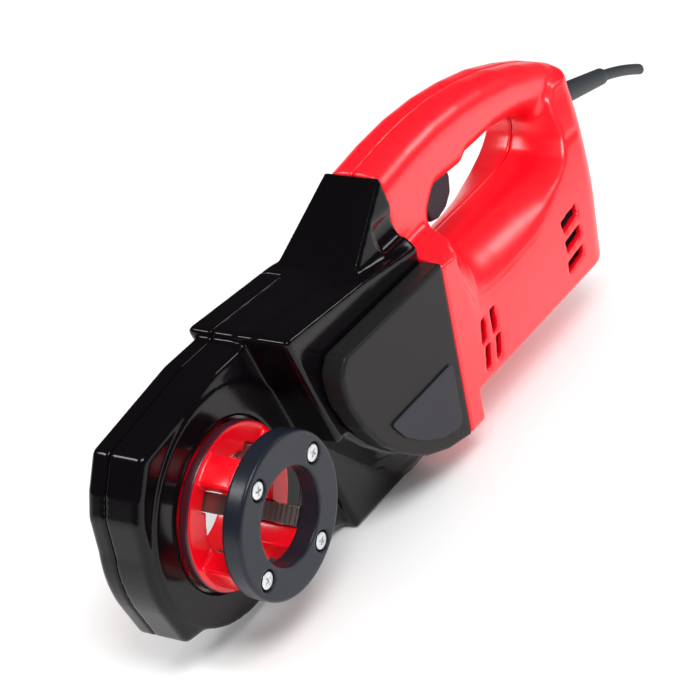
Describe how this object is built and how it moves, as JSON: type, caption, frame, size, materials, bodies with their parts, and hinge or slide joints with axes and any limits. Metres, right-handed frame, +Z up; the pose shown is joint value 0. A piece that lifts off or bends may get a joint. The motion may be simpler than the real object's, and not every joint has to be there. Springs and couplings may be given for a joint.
{
  "type": "pipe threading machine",
  "caption": "Hand-held electric pipe threader: a geared ring turns a pull-out die head with a guide ring; motor, trigger and cord sit in a D-handle housing.",
  "frame": {"origin": "middle of the underside of the object's box, 7 mm to the near side of the plane where the two handle halves meet; the pipe (die) axis runs along Y, 182 mm in front of it and 64 mm above it", "axes": "+X back along the tool to the cord; -Y out of the guide ring, towards the side the pipe enters from; +Z up, from the base to the grip"},
  "size_m": [0.4811, 0.0685, 0.155],
  "materials": {
    "gloss_black": "deep gloss black coating",
    "satin_black": "satin dark grey",
    "gloss_red": "glossy red plastic",
    "red_paint": "red enamel on cast metal",
    "slate": "satin slate black",
    "slate_plastic": "satin slate plastic",
    "zinc": "bright zinc",
    "tool_steel": "dark ground tool steel",
    "shaft_steel": "ground steel",
    "gear_steel": "machined steel with a film of grease",
    "bush_bronze": "sintered bronze",
    "laminated_steel": "stacked laminations",
    "copper": "copper segments",
    "brass": "brass",
    "carbon": "pressed carbon",
    "fan_plastic": "moulded nylon",
    "cast_aluminium": "as cast",
    "switch_plastic": "matte black plastic",
    "cord_rubber": "matte slate rubber"
  },
  "bodies": {
    "housing": {"gear_case": "gloss_black", "gear_case_far_cover": "gloss_black", "drum_cover": "satin_black", "badge_plate": "slate_plastic", "housing_near_half": "gloss_red", "housing_far_half": "gloss_red", "case_screw_1": "zinc", "case_screw_2": "zinc", "case_screw_3": "zinc", "case_screw_4": "zinc", "flange_screw_1": "zinc", "flange_screw_2": "zinc", "flange_screw_3": "zinc", "idler_pin": "shaft_steel", "motor_bearing_front": "shaft_steel", "motor_bearing_rear": "shaft_steel", "ring_bush_near": "bush_bronze", "ring_bush_far": "bush_bronze", "drum_bush_near": "bush_bronze", "drum_bush_far": "bush_bronze", "bevel_bush_near": "bush_bronze", "bevel_bush_far": "bush_bronze", "field_core": "laminated_steel", "brush_holder_left": "brass", "brush_holder_right": "brass", "carbon_brush_left": "carbon", "carbon_brush_right": "carbon", "rear_bearing_plate": "fan_plastic", "motor_bracket": "cast_aluminium", "switch_module": "switch_plastic", "cord_clamp": "switch_plastic", "cord_boot": "cord_rubber", "power_cord": "cord_rubber"},
    "drive_ring": {"drive_ring_gear": "gear_steel", "retaining_ring": "shaft_steel"},
    "die_head": {"die_head_body": "red_paint", "guide_ring": "slate", "thread_die_1": "tool_steel", "thread_die_2": "tool_steel", "thread_die_3": "tool_steel", "thread_die_4": "tool_steel", "guide_screw_1": "zinc", "guide_screw_2": "zinc", "guide_screw_3": "zinc", "guide_screw_4": "zinc"},
    "idler": {"idler_gear": "gear_steel", "idler_bush": "bush_bronze"},
    "drum_shaft": {"drum_shaft": "shaft_steel", "drum_gear": "gear_steel", "drum_pinion": "gear_steel"},
    "bevel_shaft": {"bevel_shaft": "gear_steel", "bevel_gear": "gear_steel"},
    "armature": {"motor_shaft": "shaft_steel", "motor_pinion": "gear_steel", "armature_core": "laminated_steel", "commutator": "copper", "cooling_fan": "fan_plastic"},
    "trigger": {"trigger": "slate_plastic"},
    "direction_slider": {"direction_slider": "switch_plastic"}
  },
  "joints": [
    {"name": "drive_ring_spin", "type": "hinge", "parent": "housing", "child": "drive_ring", "pos_m": [-0.182, 0.007, 0.064], "axis": [0, 1, 0], "continuous": true},
    {"name": "die_head_pull", "type": "slide", "parent": "drive_ring", "child": "die_head", "axis": [0, -1, 0], "range_m": [0, 0.05]},
    {"name": "idler_spin", "type": "hinge", "parent": "housing", "child": "idler", "pos_m": [-0.1142, 0.013, 0.0718], "axis": [0, 1, 0], "continuous": true},
    {"name": "drum_shaft_spin", "type": "hinge", "parent": "housing", "child": "drum_shaft", "pos_m": [-0.07769, 0.007, 0.076], "axis": [0, 1, 0], "continuous": true},
    {"name": "bevel_shaft_spin", "type": "hinge", "parent": "housing", "child": "bevel_shaft", "pos_m": [-0.04829, 0.007, 0.0615], "axis": [0, 1, 0], "continuous": true},
    {"name": "armature_spin", "type": "hinge", "parent": "housing", "child": "armature", "pos_m": [0.018, -0.002, 0.0615], "axis": [1, 0, 0], "continuous": true},
    {"name": "trigger_squeeze", "type": "hinge", "parent": "housing", "child": "trigger", "pos_m": [0.005, 0.007, 0.125], "axis": [0, -1, 0], "range_deg": [0, 9], "stiffness_Nm_per_rad": 0.4, "springref_deg": -11.46},
    {"name": "direction_slide", "type": "slide", "parent": "housing", "child": "direction_slider", "axis": [1, 0, 0], "range_m": [-0.004, 0.004]}
  ],
  "couplings": [
    {"joint": "idler_spin", "follows": "drive_ring_spin", "ratio": -1.6},
    {"joint": "drum_shaft_spin", "follows": "drive_ring_spin", "ratio": 4},
    {"joint": "bevel_shaft_spin", "follows": "drive_ring_spin", "ratio": -26.667},
    {"joint": "armature_spin", "follows": "drive_ring_spin", "ratio": -126.67}
  ]
}
